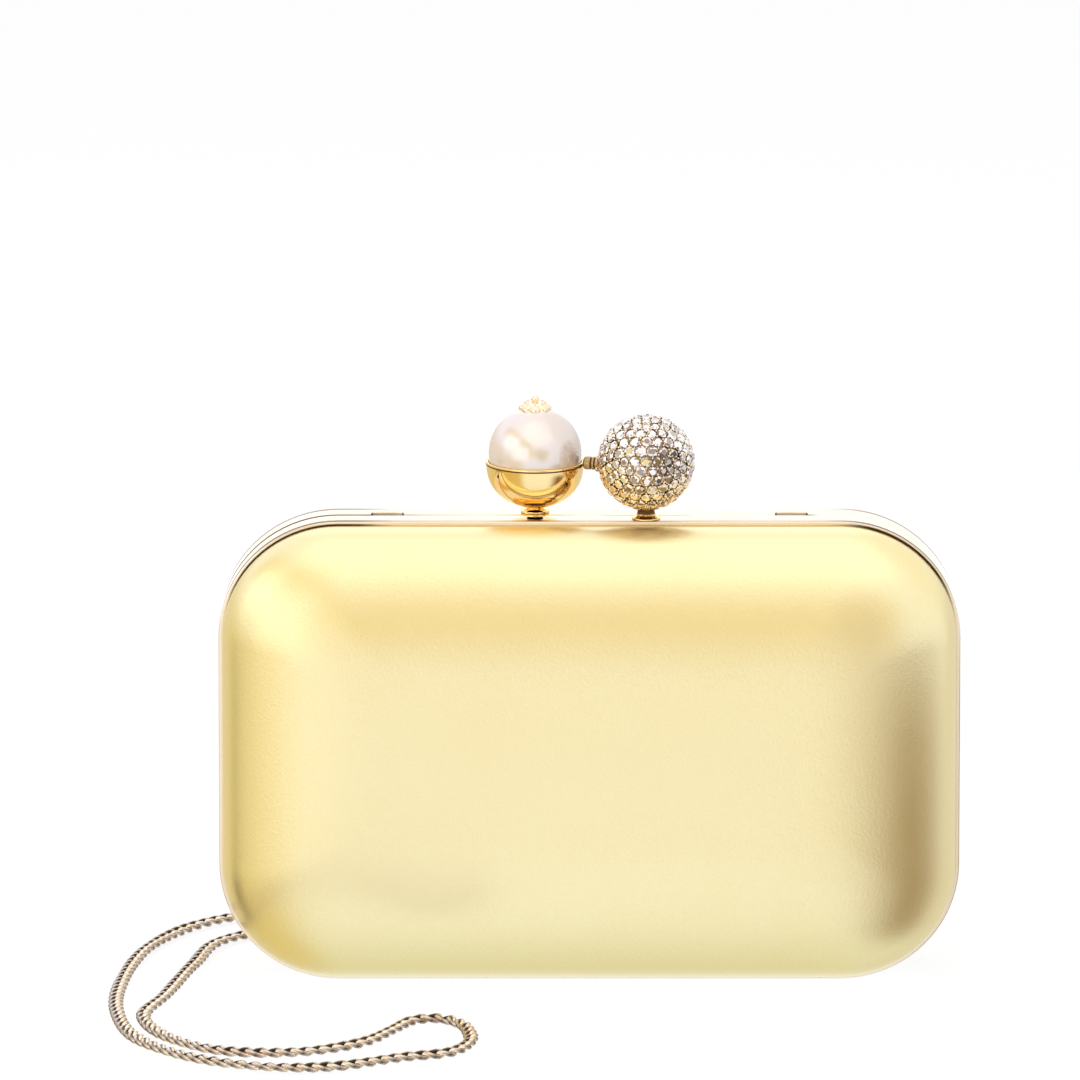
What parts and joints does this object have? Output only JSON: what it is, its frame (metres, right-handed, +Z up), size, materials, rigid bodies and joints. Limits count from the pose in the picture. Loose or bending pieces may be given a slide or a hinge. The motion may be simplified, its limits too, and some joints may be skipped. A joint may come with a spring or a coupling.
{
  "type": "clutch bag",
  "caption": "Hard box clutch with two framed shell halves hinged along the base, a pearl and crystal ball clasp and a loose chain strap",
  "frame": {"origin": "centre of the bag's base on the parting plane between its two halves, at the height of the surface it stands on; the chain strap is not counted", "axes": "+X along the bag's long side, to the right seen from the front; +Y to the back; +Z up"},
  "size_m": [0.2063, 0.1613, 0.1429],
  "materials": {
    "gold_leather": "satin metallic gold",
    "core_board": "moulded, matte",
    "polished_gold": "polished, gold plated",
    "lining_satin": "satin weave",
    "pin_steel": "plain",
    "pearl": "pearl lustre",
    "chain_gold": "polished, pale gold plated",
    "crystal": "cut stones on a gold backing"
  },
  "bodies": {
    "rear_half": {"rear_cover": "gold_leather", "rear_core": "core_board", "rear_frame": "polished_gold", "rear_lining": "lining_satin", "hinge_pin_left": "pin_steel", "hinge_pin_right": "pin_steel", "pearl_post": "polished_gold", "pearl_cup": "polished_gold", "pearl": "pearl", "pearl_finial": "polished_gold", "pearl_washer": "pin_steel", "pearl_nut": "pin_steel", "chain_eye_left": "polished_gold", "chain_eye_right": "polished_gold", "chain_end_ring_left": "chain_gold", "chain_end_ring_right": "chain_gold", "chain": "chain_gold"},
    "front_half": {"front_cover": "gold_leather", "front_core": "core_board", "front_frame": "polished_gold", "front_lining": "lining_satin", "crystal_escutcheon": "polished_gold", "crystal_post": "polished_gold", "crystal_ball": "crystal", "crystal_finger": "polished_gold", "crystal_washer": "pin_steel", "crystal_nut": "pin_steel"}
  },
  "joints": [
    {"name": "case_open", "type": "hinge", "parent": "rear_half", "child": "front_half", "pos_m": [0, 0, 0.0017], "axis": [1, 0, 0], "range_deg": [0, 50]}
  ]
}
